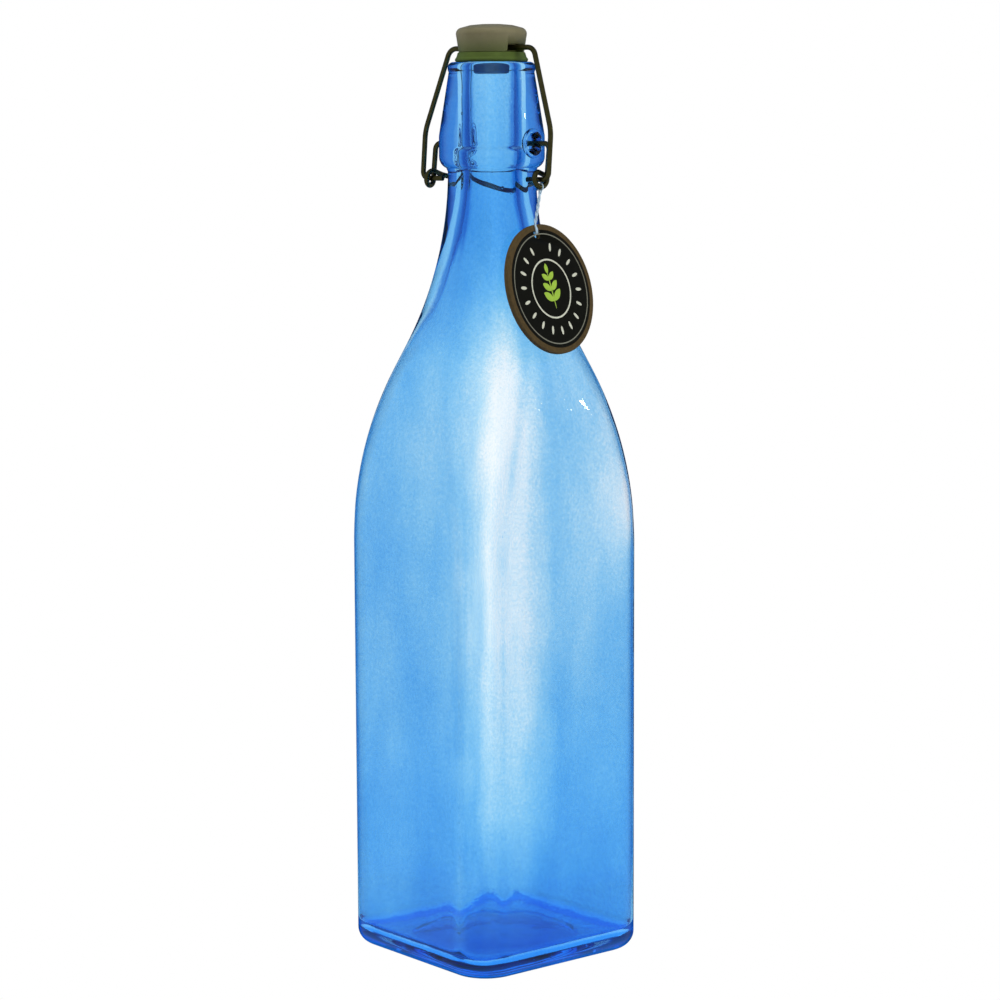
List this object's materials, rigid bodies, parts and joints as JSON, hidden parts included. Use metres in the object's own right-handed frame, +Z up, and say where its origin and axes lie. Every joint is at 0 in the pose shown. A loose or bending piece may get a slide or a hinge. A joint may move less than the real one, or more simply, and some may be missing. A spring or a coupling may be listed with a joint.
{
  "type": "swing top bottle",
  "caption": "Tall square glass bottle with a wire lever closure, a stopper with a rubber gasket, and a round hang tag tied to the wire",
  "frame": {"origin": "on the table under the middle of the body", "axes": "+Z up along the bottle, X and Y through the middles of the body's flat faces; the closure's pivot line is turned 11 degrees from +X towards +Y"},
  "size_m": [0.078, 0.078, 0.3215],
  "materials": {
    "blue_glass": "smooth pressed glass, blue, with fine seeds",
    "stopper_plastic": "satin olive-grey",
    "gasket_rubber": "soft green rubber",
    "wire_steel": "dark drawn spring wire",
    "tie_plastic": "thin clear strand",
    "tag_board": "printed board with a brown cut edge"
  },
  "bodies": {
    "bottle": {"bottle": "blue_glass"},
    "lever": {"lever_wire": "wire_steel"},
    "bail": {"bail_wire": "wire_steel"},
    "stopper": {"stopper": "stopper_plastic", "gasket": "gasket_rubber"},
    "tie": {"tag_tie": "tie_plastic"},
    "tag": {"hang_tag": "tag_board"}
  },
  "joints": [
    {"name": "lever_pivot", "type": "hinge", "parent": "bottle", "child": "lever", "pos_m": [0, 0, 0.2812], "axis": [0.9816, 0.1908, 0], "range_deg": [0, 82]},
    {"name": "bail_pivot", "type": "hinge", "parent": "lever", "child": "bail", "pos_m": [0.00076, -0.00393, 0.2692], "axis": [0.9816, 0.1908, 0], "range_deg": [-60, 0]},
    {"name": "stopper_swivel", "type": "hinge", "parent": "bail", "child": "stopper", "pos_m": [0, 0, 0.3134], "axis": [0.9816, 0.1908, 0], "range_deg": [-24, 0]},
    {"name": "tie_hang", "type": "hinge", "parent": "lever", "child": "tie", "pos_m": [0.02462, 0.00071, 0.2692], "axis": [0.9816, 0.1908, 0], "range_deg": [-83, 0]},
    {"name": "tag_swing", "type": "hinge", "parent": "tie", "child": "tag", "pos_m": [0.02236, 0.00027, 0.2537], "axis": [0.1908, -0.9816, 0], "range_deg": [0, 40]}
  ],
  "couplings": [
    {"joint": "bail_pivot", "follows": "lever_pivot", "ratio": -0.715},
    {"joint": "stopper_swivel", "follows": "lever_pivot", "ratio": -0.285},
    {"joint": "tie_hang", "follows": "lever_pivot", "ratio": -1}
  ]
}
